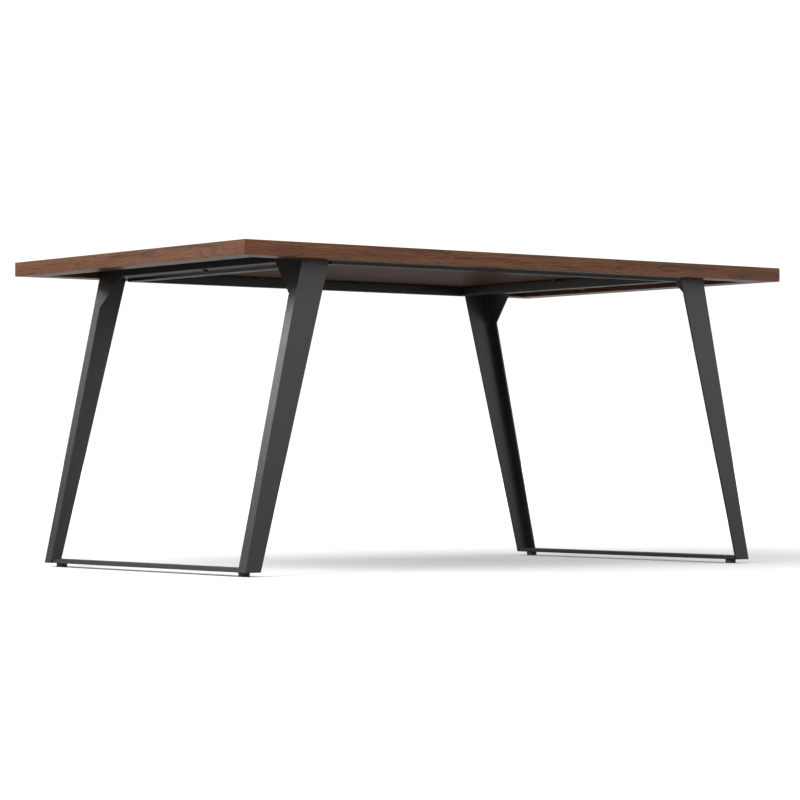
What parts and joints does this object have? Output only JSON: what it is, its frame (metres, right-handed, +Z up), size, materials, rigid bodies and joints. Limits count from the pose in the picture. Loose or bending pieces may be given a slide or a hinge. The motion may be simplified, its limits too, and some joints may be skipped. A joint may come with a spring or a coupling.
{
  "type": "butcher block table",
  "caption": "Rectangular walnut butcher block table with a mitred drop edge, on leaning welded steel leg frames with floor bars and levelling glides.",
  "frame": {"origin": "middle of the table on the floor", "axes": "+X along the length, +Y from the front long side to the back one, +Z up"},
  "size_m": [1.6764, 1.016, 0.762],
  "materials": {
    "walnut": "satin lacquer over walnut",
    "powder_coat": "fine-textured charcoal powder coat on steel",
    "black_oxide": "black oxide",
    "zinc_plate": "zinc plated",
    "insert_brass": "turned",
    "cap_plastic": "moulded polyethylene",
    "glide_nylon": "moulded nylon, slightly glossy"
  },
  "bodies": {
    "table": {"bolt_spacers": "zinc_plate", "edge_strip_back": "walnut", "edge_strip_front": "walnut", "edge_strip_left": "walnut", "edge_strip_right": "walnut", "end_rail_left": "powder_coat", "end_rail_right": "powder_coat", "floor_bar_left": "powder_coat", "floor_bar_right": "powder_coat", "leg_back_left": "powder_coat", "leg_back_right": "powder_coat", "leg_channel_left": "powder_coat", "leg_channel_right": "powder_coat", "leg_front_left": "powder_coat", "leg_front_right": "powder_coat", "long_rail_back": "powder_coat", "long_rail_front": "powder_coat", "rail_bolts": "black_oxide", "rail_end_caps": "cap_plastic", "rivet_nuts": "zinc_plate", "screw_tabs": "powder_coat", "tab_screws": "black_oxide", "threaded_inserts": "insert_brass", "top_bolts": "black_oxide", "top_stave_01": "walnut", "top_stave_02": "walnut", "top_stave_03": "walnut", "top_stave_04": "walnut", "top_stave_05": "walnut", "top_stave_06": "walnut", "top_stave_07": "walnut", "top_stave_08": "walnut", "top_stave_09": "walnut", "top_stave_10": "walnut", "top_stave_11": "walnut", "top_stave_12": "walnut", "top_stave_13": "walnut", "top_stave_14": "walnut", "top_stave_15": "walnut"},
    "pad_back_right": {"glide_pad_back_right": "glide_nylon"},
    "stem_back_right": {"glide_stem_back_right": "zinc_plate"},
    "pad_back_left": {"glide_pad_back_left": "glide_nylon"},
    "stem_back_left": {"glide_stem_back_left": "zinc_plate"},
    "pad_front_right": {"glide_pad_front_right": "glide_nylon"},
    "stem_front_right": {"glide_stem_front_right": "zinc_plate"},
    "pad_front_left": {"glide_pad_front_left": "glide_nylon"},
    "stem_front_left": {"glide_stem_front_left": "zinc_plate"}
  },
  "joints": [
    {"name": "glide_travel_back_right", "type": "slide", "parent": "table", "child": "pad_back_right", "axis": [0, 0, -1], "range_m": [0, 0.005]},
    {"name": "glide_turn_back_right", "type": "hinge", "parent": "pad_back_right", "child": "stem_back_right", "pos_m": [0.76437, 0.4, 0.012], "axis": [0, 0, -1], "range_deg": [0, 1440]},
    {"name": "glide_travel_back_left", "type": "slide", "parent": "table", "child": "pad_back_left", "axis": [0, 0, -1], "range_m": [0, 0.005]},
    {"name": "glide_turn_back_left", "type": "hinge", "parent": "pad_back_left", "child": "stem_back_left", "pos_m": [-0.76437, 0.4, 0.012], "axis": [0, 0, -1], "range_deg": [0, 1440]},
    {"name": "glide_travel_front_right", "type": "slide", "parent": "table", "child": "pad_front_right", "axis": [0, 0, -1], "range_m": [0, 0.005]},
    {"name": "glide_turn_front_right", "type": "hinge", "parent": "pad_front_right", "child": "stem_front_right", "pos_m": [0.76437, -0.4, 0.012], "axis": [0, 0, -1], "range_deg": [0, 1440]},
    {"name": "glide_travel_front_left", "type": "slide", "parent": "table", "child": "pad_front_left", "axis": [0, 0, -1], "range_m": [0, 0.005]},
    {"name": "glide_turn_front_left", "type": "hinge", "parent": "pad_front_left", "child": "stem_front_left", "pos_m": [-0.76437, -0.4, 0.012], "axis": [0, 0, -1], "range_deg": [0, 1440]}
  ],
  "couplings": [
    {"joint": "glide_turn_back_right", "follows": "glide_travel_back_right", "rad_per_m": 5026.5},
    {"joint": "glide_turn_back_left", "follows": "glide_travel_back_left", "rad_per_m": 5026.5},
    {"joint": "glide_turn_front_right", "follows": "glide_travel_front_right", "rad_per_m": 5026.5},
    {"joint": "glide_turn_front_left", "follows": "glide_travel_front_left", "rad_per_m": 5026.5}
  ]
}
